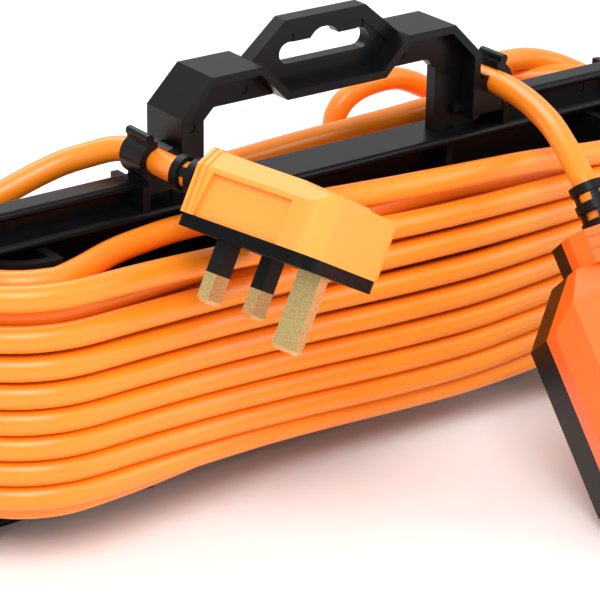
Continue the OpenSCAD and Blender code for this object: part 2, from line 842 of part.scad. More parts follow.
module plug_live_core() {
    color("saddlebrown") in_plug() core([
        [cord_stop_x, -1.5, plug_cord_z - 0.8], [2, -5.5, 16], [10, -10, 16.6], [20, -13.6, 16.4],
        [26, -14.1, 15.4], [26.8, -14.1, 13.6], [26.8, -14.1, block_top - 1]
    ], [0, 1, 0.05]);
}

module plug_neutral_core() {
    color("steelblue") in_plug() core([
        [cord_stop_x, 1.5, plug_cord_z - 0.8], [-2, 8, core_z], [-2.2, pin_y, core_z - 2], [-2.2, pin_y, block_top - 1]
    ], [1, 0, 0.05]);
}

module plug_earth_core() {
    color("yellowgreen") in_plug() core([
        [cord_stop_x, 0, plug_cord_z + 1.7], [6, 5.6, core_z + 1], [14, 5.4, core_z + 1],
        [pin_pitch - 2.2, 0, core_z], [pin_pitch - 2.2, 0, block_top - 1]
    ], [0, 1, 0.05]);
}

// ---------------------------------------------------------------- socket

// Plan of the socket's body, drawn in by t
module socket_plan(t) {
    k = t * 0.5;
    polygon([
        [t, -shoulder_half + k], [shoulder_len + k, -socket_half + t],
        [socket_length - end_cut - k, -socket_half + t], [socket_length - t, -socket_half + end_cut + k],
        [socket_length - t, socket_half - end_cut - k], [socket_length - end_cut - k, socket_half - t],
        [shoulder_len + k, socket_half - t], [t, shoulder_half - k]
    ]);
}

// Solid block of the cover, drawn in by t: sloped sides and a flat face
module socket_cover_block(t) {
    top = face_z - t;
    low = socket_split - 1;
    intersection() {
        translate([0, 0, socket_split]) linear_extrude(socket_height) socket_plan(t);
        along_x(-1, socket_length + 1) polygon([
            [t - socket_half, low], [t - socket_half, top - 9], [t - socket_half + 5.5, top],
            [socket_half - t - 5.5, top], [socket_half - t, top - 9], [socket_half - t, low]
        ]);
        wall_y(socket_width + 2) polygon([
            [t, low], [t, top - 9], [t + 9, top], [socket_length - t - 5, top],
            [socket_length - t, top - 6], [socket_length - t, low]
        ]);
    }
}

// The collar as a block, drawn in by t
module collar_block(t) {
    along_x(-collar_length + t, t + 0.5) polygon([
        [t - collar_half, collar_z0 + 3], [t - collar_half + 3, collar_z0 + t],
        [collar_half - t - 3, collar_z0 + t], [collar_half - t, collar_z0 + 3],
        [collar_half - t, collar_z1 - 4], [collar_half - t - 4, collar_z1 - t],
        [t - collar_half + 4, collar_z1 - t], [t - collar_half, collar_z1 - 4]
    ]);
}

module socket_base() {
    color(black) in_socket() difference() {
        union() {
            intersection() {
                union() {
                    linear_extrude(socket_split) socket_plan(0);
                    collar_block(0);
                }
                box([-50, -50, 0], [150, 50, socket_split]);
            }
        }
        difference() {
            translate([0, 0, socket_wall]) linear_extrude(socket_height) socket_plan(socket_wall);
            // Saddle for the cable, screw posts and contact seats stay solid
            box([sgrip_x - 0.2, -12, 0], [sgrip_x + 4.4, 12, socket_cord_z]);
            for (s = [-1, 1]) translate([socket_length - 7, s * 18, 0]) cylinder(h = socket_split, r = 3.6);
            for (p = [[line_x, -pin_y], [line_x, pin_y], [earth_x, 0]])
                box([p[0] - 5, p[1] - 5, 0], [p[0] + 5, p[1] + 5, contact_z]);
        }
        // Cable entry
        translate([0, 0, socket_cord_z]) rod_x(-collar_length - 1, 10, boot_bore_r);
        translate([0, 0, socket_cord_z]) rod_x(-collar_length - 1, -collar_length + 6, boot_r + 0.1);
        translate([0, 0, socket_cord_z]) rod_x(-collar_length + 4.5, -collar_length + 6, boot_r + 1.2);
        for (s = [-1, 1])
            translate([sgrip_x + 2.1, s * sgrip_screw_y, socket_wall]) cylinder(h = 30, r = screw_r);
        for (s = [-1, 1]) translate([socket_length - 7, s * 18, -1]) cylinder(h = 40, r = screw_r + 0.2);
        for (s = [-1, 1]) translate([socket_length - 7, s * 18, -1]) cylinder(h = 3.4, r = 3);
    }
}

// Holes in the socket's face for the three pins
module apertures(depth) {
    c = aperture_clear;
    for (s = [-1, 1])
        box(
            [line_x - pin_t / 2 - c, s * pin_y - pin_w / 2 - c, face_z - depth],
            [line_x + pin_t / 2 + c, s * pin_y + pin_w / 2 + c, face_z + 1]
        );
    box(
        [earth_x - earth_w / 2 - c, -pin_t / 2 - c, face_z - depth],
        [earth_x + earth_w / 2 + c, pin_t / 2 + c, face_z + 1]
    );
}

module socket_cover() {
    post_h = face_z - socket_wall - socket_split;
    color("#ff5a18") in_socket() difference() {
        union() {
            difference() {
                union() {
                    socket_cover_block(0);
                    intersection() {
                        collar_block(0);
                        box([-50, -50, socket_split], [50, 50, 60]);
                    }
                }
                socket_cover_block(socket_wall);
                translate([0, 0, socket_cord_z]) rod_x(-collar_length - 1, 10, boot_bore_r);
                translate([0, 0, socket_cord_z]) rod_x(-collar_length - 1, -collar_length + 6, boot_r + 0.1);
                translate([0, 0, socket_cord_z]) rod_x(-collar_length + 4.5, -collar_length + 6, boot_r + 1.2);
                box([0, -12, socket_split - 1], [4, 12, socket_split + 7]);
            }
            for (s = [-1, 1])
                translate([socket_length - 7, s * 18, socket_split]) cylinder(h = post_h + 0.2, r = 3.4);
            // Rim round the earth hole
            difference() {
                box([earth_x - 7, -5, face_z - 0.2], [earth_x + 7, 5, face_z + 0.6]);
                box([earth_x - 6, -4, face_z - 1], [earth_x + 6, 4, face_z + 2]);
            }
        }
        apertures(20);
        for (s = [-1, 1])
            translate([socket_length - 7, s * 18, socket_split - 1]) cylinder(h = 9, r = screw_r);
        // Panel lines across the collar
        for (x = [-collar_length + 2.4, -collar_length + 6])
            box([x, -collar_half + 3, collar_z1 - 0.5], [x + 0.7, collar_half - 3, collar_z1 + 1]);
    }
}

module socket_cover_screws() {
    color(steel) in_socket() {
        for (s = [-1, 1])
            translate([socket_length - 7, s * 18, 2.4]) mirror([0, 0, 1]) screw(20, screw_r - 0.02, 2.8, 1.8);
    }
}

// Sliding plate that closes the live and neutral holes until the earth pin moves it
module socket_shutter() {
    reach = pin_y + pin_w / 2 + 2.4;
    low = earth_x - earth_w / 2 + 1.2;
    high = line_x + 4;
    color(ivory) in_socket() difference() {
        union() {
            box([line_x - 9.4, -reach, shutter_z], [high, reach, shutter_z + shutter_t]);
            box([low, -4.4, shutter_z], [line_x - 9, 4.4, shutter_z + shutter_t]);
            // Ramp that the earth pin pushes on
            wall_y(5) polygon([
                [low, shutter_z + 0.5], [low + 6.5, shutter_z - 7], [low + 8.5, shutter_z - 7],
                [low + 8.5, shutter_z + 0.5]
            ]);
            // Peg for the spring
            box([high - 2, -2, shutter_z - 4], [high, 2, shutter_z + 0.5]);
        }
        for (s = [-1, 1])
            box(
                [line_x - shutter_travel - pin_t / 2 - 0.5, s * pin_y - pin_w / 2 - 0.5, shutter_z - 1],
                [line_x - shutter_travel + pin_t / 2 - 0.1, s * pin_y + pin_w / 2 + 0.5, shutter_z + 3]
            );
    }
}

module shutter_spring() {
    turns = 6;
    path = [
        for (i = [0 : turns * 10])
            let (a = 36 * i)
            [spring_x + spring_len * i / (turns * 10), spring_r * cos(a), shutter_z - 2.4 + spring_r * sin(a)]
    ];
    color(steel) in_socket() tube(path, spring_wire, 6, [1, 0.02, 0.03]);
}

// Two leaves that grip a pin, joined to a terminal block
module contact(x, y, along, across) {
    leaf = 0.8;
    top = shutter_z - 9;
    for (s = [-1, 1])
        box(
            [x - along / 2, y + s * (across / 2 + leaf / 2) - leaf / 2, contact_z],
            [x + along / 2, y + s * (across / 2 + leaf / 2) + leaf / 2, top]
        );
    box([x - along / 2, y - across / 2 - leaf, contact_z], [x + along / 2, y + across / 2 + leaf, contact_z + 1]);
}

// Terminal block beside a contact, with its screw hole
module terminal_block(p) {
    difference() {
        box([p[0] - 3.5, p[1] - 3.5, contact_z], [p[0] + 3.5, p[1] + 3.5, contact_z + 7]);
        translate([p[0] + 1.7, p[1], contact_z + 1]) cylinder(h = 10, r = screw_r);
    }
}

live_block = [line_x - 13, -pin_y - 7];
neutral_block = [line_x - 13, pin_y + 7];
earth_block = [earth_x - 11, 0];

module line_contact(s, block) {
    color(brass) in_socket() {
        contact(line_x, s * pin_y, 5, pin_w);
        terminal_block(block);
        box(
            [block[0] + 3, min(s * pin_y, block[1]) - 1, contact_z],
            [line_x - 2, max(s * pin_y, block[1]) + 1, contact_z + 1]
        );
    }
}

module live_contact() {
    line_contact(-1, live_block);
}

module neutral_contact() {
    line_contact(1, neutral_block);
}

module earth_contact() {
    color(brass) in_socket() {
        contact(earth_x, 0, 7, pin_t);
        terminal_block(earth_block);
        box([earth_block[0] + 3, -2, contact_z], [earth_x - 3, 2, contact_z + 1]);
    }
}

module socket_terminal_screws() {
    color(steel) in_socket() for (p = [live_block, neutral_block, earth_block])
        translate([p[0] + 1.7, p[1], contact_z + 7]) screw(4, screw_r - 0.02, 2, 1.4);
}

module socket_cord_grip() {
    color(ivory) in_socket() difference() {
        box(
            [sgrip_x, -sgrip_screw_y - 3, socket_cord_z + 1.2],
            [sgrip_x + 4.2, sgrip_screw_y + 3, socket_cord_z + cable_r + 1.4]
        );
        translate([0, 0, socket_cord_z]) rod_x(-5, 15, boot_bore_r);
        for (s = [-1, 1]) translate([sgrip_x + 2.1, s * sgrip_screw_y, 0]) cylinder(h = 40, r = screw_r + 0.2);
    }
}

module socket_grip_screws() {
    color(steel) in_socket() for (s = [-1, 1])
        translate([sgrip_x + 2.1, s * sgrip_screw_y, socket_cord_z + cable_r + 1.4])
            screw(12, screw_r - 0.02, 2.2, 1.4);
}

module socket_strain_relief() {
    color(black) in_socket() translate([-collar_length, 0, socket_cord_z])
        boot(socket_boot, 5.8, boot_r);
}

module socket_core(s, block, height) {
    in_socket() core([
        [sgrip_x + 6, s * 2, socket_cord_z], [sgrip_x + 12, s * 4, height],
        [block[0] - 4, block[1] - s, height], [block[0] - 1.6, block[1], height - 2],
        [block[0] - 1.6, block[1], contact_z + 6]
    ], [0, 1, 0.05]);
}

module socket_live_core() {
    color("saddlebrown") socket_core(-1, live_block, 17);
}

module socket_neutral_core() {
    color("steelblue") socket_core(1, neutral_block, 17);
}

module socket_earth_core() {
    color("yellowgreen") in_socket() core([
        [sgrip_x + 6, 0, socket_cord_z - 1], [earth_block[0] - 4, 0, contact_z + 10],
        [earth_block[0] - 1.6, 0, contact_z + 8.4], [earth_block[0] - 1.6, 0, contact_z + 6]
    ], [0, 1, 0.05]);
}

carrier_frame();
cord_winding();
cord_plug_tail();
cord_socket_tail();
cord_back_loop();
plug_base();
plug_cover();
plug_cover_screw();
live_pin();
neutral_pin();
earth_pin();
live_pin_sleeve();
neutral_pin_sleeve();
fuse_tube();
fuse_caps();
fuse_clips();
plug_terminal_screws();
plug_cord_grip();
plug_grip_screws();
plug_strain_relief();
plug_live_core();
plug_neutral_core();
plug_earth_core();
socket_base();
socket_cover();
socket_cover_screws();
socket_shutter();
shutter_spring();
live_contact();
neutral_contact();
earth_contact();
socket_terminal_screws();
socket_cord_grip();
socket_grip_screws();
socket_strain_relief();
socket_live_core();
socket_neutral_core();
socket_earth_core();
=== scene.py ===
"""Mains extension lead on a flat carrier: cable, finishes, floor, light and camera.

The CAD model is the frame. Lengths are metres and the axes are the CAD model's:
+X along the bars, -Y the front, +Z up, the origin under the middle of the bottom bar.
"""

import bpy
import numpy as np
from mathutils import Matrix


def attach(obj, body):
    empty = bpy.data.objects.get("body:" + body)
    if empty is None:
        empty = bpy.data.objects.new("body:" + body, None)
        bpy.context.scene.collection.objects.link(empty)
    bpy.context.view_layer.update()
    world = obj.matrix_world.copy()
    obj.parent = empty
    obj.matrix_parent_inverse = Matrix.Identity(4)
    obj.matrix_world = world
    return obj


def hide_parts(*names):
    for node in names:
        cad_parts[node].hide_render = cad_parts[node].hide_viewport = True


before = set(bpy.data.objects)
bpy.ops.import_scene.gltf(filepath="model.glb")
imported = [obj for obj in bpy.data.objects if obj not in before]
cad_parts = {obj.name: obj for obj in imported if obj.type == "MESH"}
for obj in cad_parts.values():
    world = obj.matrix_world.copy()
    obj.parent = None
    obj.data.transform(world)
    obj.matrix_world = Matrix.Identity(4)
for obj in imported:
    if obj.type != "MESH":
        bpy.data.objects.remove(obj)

bl_info = {
    "name": "Extension Lead on a Carrier",
    "version": (1, 0, 0),
    "blender": (4, 5, 0),
    "location": "View3D > Sidebar > Extension Lead",
    "description": "Builds the cable and the finishes of an extension lead on a flat carrier",
    "category": "Add Mesh",
}

# ---------------------------------------------------------------- sizes and routes

MM = 0.001

# The plug's and the socket's frames: their origins and their turns about X, Y and Z
PLUG_ORIGIN = (-64.6, -55.5, 93.5)
PLUG_TURN = (-30.0, 1.5, -75.5)
SOCKET_ORIGIN = (54.8, -71.2, 64.1)
SOCKET_TURN = (18.0, 50.7, -90.3)
# Points of the straight pieces of cable at the plug and at the socket: their places along
# each frame's own X axis and their height in it
PLUG_CORD_X = (-33.0, -24.0, -12.0, -6.0)
PLUG_CORD_Z = 14.5
SOCKET_CORD_X = (-8.0, -16.0, -26.0)
SOCKET_CORD_Z = 15.0
# Distance of the saddles from the middle, and the place where a front run reaches its
# middle height
SADDLE_X = 106.0
FRONT_MIDDLE_X = 30.0
# Radius of each layer round a saddle, and how far behind the web its back runs lie, both
# with the inner layer first
LAYER_RADII = (22.9, 30.0, 37.2)
LAYER_FROM_WEB = (16.4, 24.4, 32.0)
# Angles in degrees round a saddle where its arcs start and stop, counted from +X to the
# back. The first turn starts where the left tail joins it, and the second turn leaves
# early for the slack loop.
LEFT_START = 92
LEFT_START_FIRST = 176
LEFT_STOP = 268
RIGHT_START = -88
RIGHT_STOP = 88
RIGHT_STOP_SECOND = 60
# The last turn's front run ends here, where the rising turn leaves it
RISING_X = 28.0
RUN_POINTS = 17
ARC_POINTS = 15
# Power of the step from the waist to the saddles: above 1, a run keeps to the web longer
WAIST_POWER = 1.3
# Scatter of the front runs' distance from the web: its seed and its standard deviation
SCATTER_SEED = 7
SCATTER = 0.3
# Steps to each stretch of a listed run and of the whole cable
RUN_STEPS = 2
CABLE_STEPS = 3

# Turns of the winding in the order in which they were laid, last one first. Each gives
# the height of the cable's middle at the left end, in the middle of the front and at
# the right end, then its radius round the left saddle, its distance from the web in the
# middle and its radius round the right saddle, all in millimetres.
OUTER_TURNS = (
    (85.6, 76.6, 78.2, 37.2, 32.0, 37.2), (84.0, 88.2, 85.4, 22.9, 32.0, 37.2),
    (73.4, 67.4, 70.4, 37.2, 32.0, 37.2), (64.7, 57.6, 62.4, 37.2, 32.0, 37.2),
    (56.3, 48.4, 54.6, 37.2, 32.0, 37.2), (48.2, 39.6, 46.0, 37.2, 32.0, 37.2),
    (40.3, 31.4, 39.0, 37.2, 32.0, 37.2), (32.4, 23.6, 31.2, 37.2, 31.4, 37.2),
    (24.6, 16.4, 23.6, 37.2, 29.2, 37.2),
)
MIDDLE_TURNS = (
    (18.0, 22.5, 23.4, 30.0, 24.4, 30.0), (27.4, 30.4, 31.0, 30.0, 24.4, 30.0),
    (35.6, 38.3, 38.6, 30.0, 24.4, 30.0), (43.8, 46.4, 46.2, 30.0, 24.4, 30.0),
    (52.2, 54.8, 53.8, 30.0, 24.4, 30.0), (60.5, 63.4, 61.4, 30.0, 24.4, 30.0),
    (69.0, 72.4, 69.8, 30.0, 24.4, 30.0), (77.6, 81.6, 78.8, 30.4, 24.4, 30.0),
)
INNER_TURNS = (
    (75.0, 74.0, 74.0, 22.9, 16.4, 22.9), (65.2, 65.0, 65.0, 22.9, 16.4, 22.9),
    (55.5, 55.5, 55.5, 22.9, 16.4, 22.9), (45.8, 45.8, 45.8, 22.9, 16.4, 22.9),
    (36.0, 36.0, 36.0, 22.9, 16.4, 22.9), (26.2, 26.2, 26.2, 22.9, 16.4, 22.9),
    (16.0, 16.0, 15.4, 22.9, 14.4, 22.9),
)
# Back run of the first turn, seen through the hand gap
TOP_BACK = (
    (100.0, 35.6, 79.6), (90.0, 31.8, 82.6), (79.0, 28.4, 85.2), (66.0, 26.4, 86.6),
    (52.0, 26.0, 86.2), (36.5, 26.0, 85.8), (24.0, 26.0, 85.6), (12.0, 26.0, 85.3),
    (0.0, 26.0, 84.9), (-11.0, 26.0, 84.4), (-30.0, 25.6, 84.0), (-56.0, 24.6, 84.0),
    (-82.0, 23.6, 84.0),
)
# Front run of the second turn, which comes out from under the top bar
TOP_FRONT = (
    (-97.0, -19.6, 84.0), (-84.0, -14.6, 84.2), (-72.0, -13.4, 85.0), (-60.0, -14.0, 86.0),
    (-48.0, -16.8, 86.8), (-30.0, -21.6, 87.6), (-12.0, -26.0, 88.3), (8.0, -29.8, 88.6),
    (33.0, -32.0, 88.2), (58.0, -33.4, 87.4), (84.0, -35.6, 85.8),
)

# From the left clip to the winding
PLUG_TAIL = (
    (-64.5, -11.0, 105.5), (-64.5, 0.0, 105.5), (-65.2, 6.0, 105.3), (-68.0, 11.0, 104.4),
    (-73.0, 15.5, 102.3), (-80.0, 20.0, 99.6), (-89.0, 22.8, 96.0), (-99.0, 25.4, 91.6),
    (-108.0, 28.2, 88.4), (-115.2, 28.4, 87.0), (-122.5, 26.5, 86.3), (-129.7, 22.9, 85.9),
    (-136.3, 17.5, 85.7), (-141.2, 10.1, 85.6),
)
# Slack loop behind the handle and its fold back into the winding
SLACK_LOOP = (
    (112.0, 40.4, 84.2), (104.0, 42.6, 82.8), (94.0, 44.0, 82.6), (80.5, 44.5, 85.6),
    (73.6, 44.6, 88.9), (66.0, 44.6, 91.8), (58.0, 44.6, 92.2), (50.0, 44.6, 91.0),
    (43.6, 44.6, 87.6), (40.2, 44.6, 82.2), (41.0, 44.5, 76.0), (46.5, 44.3, 71.2),
    (56.0, 44.2, 67.8), (68.0, 44.4, 65.4), (80.0, 45.6, 62.6), (91.0, 47.4, 58.0),
    (99.0, 48.4, 50.6), (102.4, 48.6, 41.0), (99.6, 48.4, 31.4), (91.4, 47.8, 24.6),
    (80.0, 46.8, 22.6), (67.0, 45.2, 24.6), (50.0, 44.0, 31.0), (30.0, 43.2, 40.0),
    (10.0, 42.6, 49.6), (-10.0, 42.0, 58.6), (-30.0, 41.4, 66.0), (-52.0, 40.6, 71.0),
    (-76.0, 39.6, 73.0),
)
# From the bottom of the inner layer out under the front rows, round the right end
# and up to the right clip
RISING_TURN = (
    (40.0, -16.0, 15.0), (58.0, -20.0, 14.9), (76.0, -28.0, 14.9), (92.0, -38.0, 15.6),
    (105.0, -44.6, 19.4), (118.0, -43.6, 27.4), (130.0, -38.0, 36.8), (140.6, -28.6, 46.4),
    (147.6, -15.4, 56.0),
    (150.2, 0.0, 65.4), (148.0, 14.6, 74.0), (141.0, 27.4, 81.6), (130.0, 36.0, 87.6),
    (117.0, 37.0, 91.5), (104.0, 34.0, 93.6), (91.5, 29.5, 96.0), (81.0, 24.0, 98.8),
    (73.0, 17.5, 101.8), (67.6, 11.0, 104.4), (65.0, 4.5, 105.4), (64.5, -1.0, 105.5),
    (64.5, -9.0, 105.5),
)
# From the right clip down to the socket
SOCKET_TAIL = ((63.6, -20.0, 104.8), (60.0, -34.0, 103.8), (55.4, -48.0, 101.4))

# Camera: azimuth, elevation and roll in degrees, the point it is aimed at and its
# distance from it in metres, and its focal length in millimetres
CAMERA_ANGLES = (-36.74, 23.5, 0.84)
CAMERA_AIM = (-0.0062, 0.0, 0.0456)
CAMERA_DISTANCE = 0.7805
CAMERA_LENS = 148.87
# Point that the lights face, and the rounding of the pins' edges, both in metres
LIGHT_AIM = (0.0, 0.0, 0.06)
PIN_EDGE_ROUND = 0.0002


def rotation(turn):
    """The 3 x 3 matrix that turns about X, then Y, then Z by the angles given in degrees."""
    a, b, c = np.radians(turn)
    about_x = np.array([[1, 0, 0], [0, np.cos(a), -np.sin(a)], [0, np.sin(a), np.cos(a)]])
    about_y = np.array([[np.cos(b), 0, np.sin(b)], [0, 1, 0], [-np.sin(b), 0, np.cos(b)]])
    about_z = np.array([[np.cos(c), -np.sin(c), 0], [np.sin(c), np.cos(c), 0], [0, 0, 1]])
    return about_z @ about_y @ about_x


def plug_point(x, y, z):
    """A point of the plug's own frame, in the carrier's frame, both in millimetres."""
    return np.array(PLUG_ORIGIN) + rotation(PLUG_TURN) @ np.array([x, y, z])


def socket_point(x, y, z):
    """A point of the socket's own frame, in the carrier's frame, both in millimetres."""
    return np.array(SOCKET_ORIGIN) + rotation(SOCKET_TURN) @ np.array([x, y, z])


def smooth(u):
    """A step from 0 to 1 that starts and ends level: u squared times (3 - 2 u)."""
    u = np.clip(u, 0.0, 1.0)
    return u * u * (3.0 - 2.0 * u)


def smooth_route(points, steps):
    """A smooth curve through the points, with this many steps to each stretch.

    Each stretch is the Catmull-Rom cubic of its two ends and their neighbours, with
    the first and last points mirrored outward to give the end stretches a neighbour.
    """
    p = np.asarray(points, float)
    p = np.vstack([2 * p[:1] - p[1:2], p, 2 * p[-1:] - p[-2:-1]])
    a, b, c, d = (p[i:len(p) - 3 + i, None, :] for i in range(4))
    u = np.linspace(0.0, 1.0, steps, endpoint=False)[None, :, None]
    curve = 0.5 * (2 * b + (c - a) * u + (2 * a - 5 * b + 4 * c - d) * u ** 2
                   + (3 * b - a - 3 * c + d) * u ** 3)
    return np.vstack([curve.reshape(-1, 3), p[-2:-1]])


def end_arc(side, radius, start, stop, height):
    """A level arc round one saddle, from angle start to angle stop.

    Its points are the saddle's middle plus the radius times the angle's cosine along X
    and the radius times its sine along Y.
    """
    angle = np.radians(start + (stop - start) * np.linspace(0.0, 1.0, ARC_POINTS))
    z = np.full(ARC_POINTS, height)
    return np.column_stack([side * SADDLE_X + radius * np.cos(angle), radius * np.sin(angle), z])


def waist(x, radius, middle):
    """Distance of a straight run from the web: middle at x = 0, radius at the saddles.

    The share of the way from one to the other is the smooth step of the distance from
    the middle over the saddle's distance, raised to WAIST_POWER.
    """
    return middle + (radius - middle) * smooth(np.abs(x) / SADDLE_X) ** WAIST_POWER


def front_run(turn):
    """A front run from the left saddle to the right one, through the turn's three heights.

    Each half goes from one height to the next by the smooth step of the way along it.
    """
    x = np.linspace(-SADDLE_X, SADDLE_X, RUN_POINTS + 2)[1:-1]
    left, middle, right, left_radius, from_web, right_radius = turn
    to_middle = smooth((x + SADDLE_X) / (FRONT_MIDDLE_X + SADDLE_X))
    to_right = smooth((x - FRONT_MIDDLE_X) / (SADDLE_X - FRONT_MIDDLE_X))
    z = np.where(x < FRONT_MIDDLE_X, left + (middle - left) * to_middle,
                 middle + (right - middle) * to_right)
    radius = np.where(x < 0.0, left_radius, right_radius)
    return np.column_stack([x, -waist(x, radius, from_web), z])


def back_run(turn, following):
    """A back run from the right saddle to the left one that moves to the following turn.

    Its height goes from one turn's to the other's by the smooth step of the way along
    it. It lies in its own layer, but a run to an inner turn lies in the inner layer.
    """
    x = np.linspace(SADDLE_X, -SADDLE_X, RUN_POINTS + 2)[1:-1]
    t = smooth((SADDLE_X - x) / (2 * SADDLE_X))
    layer = following[3] if following[3] == LAYER_RADII[0] else turn[5]
    from_web = np.interp(layer, LAYER_RADII, LAYER_FROM_WEB)
    radius = np.where(x < 0.0, following[3], turn[5])
    return np.column_stack([x, waist(x, radius, from_web), turn[2] + (following[0] - turn[2]) * t])


def wound_turns():
    """The turns of the winding, the last one laid first, as one run of points in millimetres.

    Each turn goes round the left saddle, along the front, round the right saddle and
    back behind the web. Listed runs stand in for the first two back runs and the
    second front run, and the last turn stops at the front, where the rising turn leaves it.
    """
    turns = np.array(OUTER_TURNS + MIDDLE_TURNS + INNER_TURNS)
    turns[:, 4] += np.random.default_rng(SCATTER_SEED).normal(0.0, SCATTER, len(turns))
    runs = []
    for i, turn in enumerate(turns):
        left_start = LEFT_START_FIRST if i == 0 else LEFT_START
        right_stop = RIGHT_STOP_SECOND if i == 1 else RIGHT_STOP
        runs.append(end_arc(-1, turn[3], left_start, LEFT_STOP, turn[0]))
        front = smooth_route(TOP_FRONT, RUN_STEPS) if i == 1 else front_run(turn)
        if i == len(turns) - 1:
            runs.append(front[front[:, 0] < RISING_X])
            break
        runs.append(front)
        runs.append(end_arc(1, turn[5], RIGHT_START, right_stop, turn[2]))
        if i == 0:
            runs.append(smooth_route(TOP_BACK, RUN_STEPS))
        elif i == 1:
            runs.append(smooth_route(SLACK_LOOP, RUN_STEPS))
        else:
            runs.append(back_run(turn, turns[i + 1]))
    return np.vstack(runs)


def cable_route():
    """The middle of the whole cable from the socket to the plug, in metres.

    Socket, right clip, rising turn, inner layer out to the outer one, left clip, plug.
    """
    from_socket = np.vstack([
        [socket_point(x, 0.0, SOCKET_CORD_Z) for x in SOCKET_CORD_X],
        np.array(SOCKET_TAIL[::-1]), np.array(RISING_TURN[::-1]),
    ])
    to_plug = np.vstack([
        np.array(PLUG_TAIL[::-1]),
        [plug_point(x, 0.0, PLUG_CORD_Z) for x in PLUG_CORD_X],
    ])
    coil = wound_turns()[::-1]
    path = smooth_route(np.vstack([from_socket, coil, to_plug]), CABLE_STEPS)
    return path * MM


# ---------------------------------------------------------------- materials

def linear(hex_colour):
    """The linear RGBA of an sRGB colour written as six hex digits."""
    s = np.array([int(hex_colour[i:i + 2], 16) for i in (0, 2, 4)]) / 255.0
    rgb = np.where(s <= 0.04045, s / 12.92, ((s + 0.055) / 1.055) ** 2.4)
    return (*map(float, rgb), 1.0)


def add_node(tree, kind, settings=None, **inputs):
    """A new shader node with its properties and input values set."""
    made = tree.nodes.new(kind)
    for key, value in (settings or {}).items():
        setattr(made, key, value)
    for key, value in inputs.items():
        made.inputs[key.replace("_", " ")].default_value = value
    return made


def moulded(name, colour, rough, grain_mm=0.0, grain_depth_mm=0.0, tone=0.0, subsurface=0.0, coat=0.0,
            gloss=0.5):
    """A plastic moulding or extrusion: one colour, slight mottling and an optional grain.

    grain_mm is the size of the surface grain and grain_depth_mm its depth. tone is how
    far the colour wanders over some centimetres, as a share of its brightness. gloss is
    the shader's specular level.
    """
    material = bpy.data.materials.new(name)
    material.use_nodes = True
    tree = material.node_tree
    shader = tree.nodes["Principled BSDF"]
    base = linear(colour)
    shader.inputs["Base Color"].default_value = base
    shader.inputs["Roughness"].default_value = rough
    shader.inputs["IOR"].default_value = 1.5
    shader.inputs["Specular IOR Level"].default_value = gloss
    if subsurface:
        shader.inputs["Subsurface Weight"].default_value = subsurface
        shader.inputs["Subsurface Radius"].default_value = (1.0, 0.5, 0.15)
        shader.inputs["Subsurface Scale"].default_value = 0.0015
    if coat:
        shader.inputs["Coat Weight"].default_value = coat
        shader.inputs["Coat Roughness"].default_value = 0.18
    where = add_node(tree, "ShaderNodeTexCoord")
    if tone:
        cloud = add_node(tree, "ShaderNodeTexNoise", None, Scale=45.0, Detail=3.0)
        ramp = add_node(tree, "ShaderNodeValToRGB")
        ramp.color_ramp.elements[0].position = 0.3
        ramp.color_ramp.elements[1].position = 0.7
        ramp.color_ramp.elements[0].color = (*[c * (1 - tone) for c in base[:3]], 1.0)
        ramp.color_ramp.elements[1].color = (*[min(1.0, c * (1 + tone)) for c in base[:3]], 1.0)
        tree.links.new(where.outputs["Object"], cloud.inputs["Vector"])
        tree.links.new(cloud.outputs["Fac"], ramp.inputs["Fac"])
        tree.links.new(ramp.outputs["Color"], shader.inputs["Base Color"])
    if grain_mm:
        grain = add_node(tree, "ShaderNodeTexNoise", None, Scale=1.0 / (grain_mm * MM), Detail=2.0)
        bump = add_node(tree, "ShaderNodeBump", None, Strength=1.0, Distance=grain_depth_mm * MM)
        tree.links.new(where.outputs["Object"], grain.inputs["Vector"])
        tree.links.new(grain.outputs["Fac"], bump.inputs["Height"])
        tree.links.new(bump.outputs["Normal"], shader.inputs["Normal"])
    return material


def metal(name, colour, rough, speckle_mm=0.0, dark=None):
    """A metal with an optional speckle of tarnish in the colour dark, some speckle_mm wide."""
    material = bpy.data.materials.new(name)
    material.use_nodes = True
    tree = material.node_tree
    shader = tree.nodes["Principled BSDF"]
    shader.inputs["Base Color"].default_value = linear(colour)
    shader.inputs["Metallic"].default_value = 1.0
    shader.inputs["Roughness"].default_value = rough
    if speckle_mm:
        where = add_node(tree, "ShaderNodeTexCoord")
        spots = add_node(tree, "ShaderNodeTexNoise", None, Scale=1.0 / (speckle_mm * MM), Detail=6.0,
                         Roughness=0.75)
        ramp = add_node(tree, "ShaderNodeValToRGB")
        ramp.color_ramp.elements[0].position = 0.36
        ramp.color_ramp.elements[0].color = linear(dark)
        ramp.color_ramp.elements[1].position = 0.58
        ramp.color_ramp.elements[1].color = linear(colour)
        bump = add_node(tree, "ShaderNodeBump", None, Strength=1.0, Distance=0.02 * MM)
        tree.links.new(where.outputs["Object"], spots.inputs["Vector"])
        tree.links.new(spots.outputs["Fac"], ramp.inputs["Fac"])
        tree.links.new(ramp.outputs["Color"], shader.inputs["Base Color"])
        tree.links.new(spots.outputs["Fac"], bump.inputs["Height"])
        tree.links.new(bump.outputs["Normal"], shader.inputs["Normal"])
    return material


def dress(material, *nodes):
    """Gives CAD nodes this material in every one of their slots."""
    for name in nodes:
        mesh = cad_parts[name].data
        if not mesh.materials:
            mesh.materials.append(material)
        for i in range(len(mesh.materials)):
            mesh.materials[i] = material


def soften(width, *nodes):
    """Rounds the sharp edges of CAD nodes by this many metres, as a mould does."""
    for name in nodes:
        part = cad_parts[name]
        bevel = part.modifiers.new("Moulded edges", "BEVEL")
        bevel.width = width
        bevel.segments = 2
        bevel.limit_method = "ANGLE"
        bevel.angle_limit = np.radians(38.0)
        bevel.harden_normals = False
        bevel.use_clamp_overlap = True


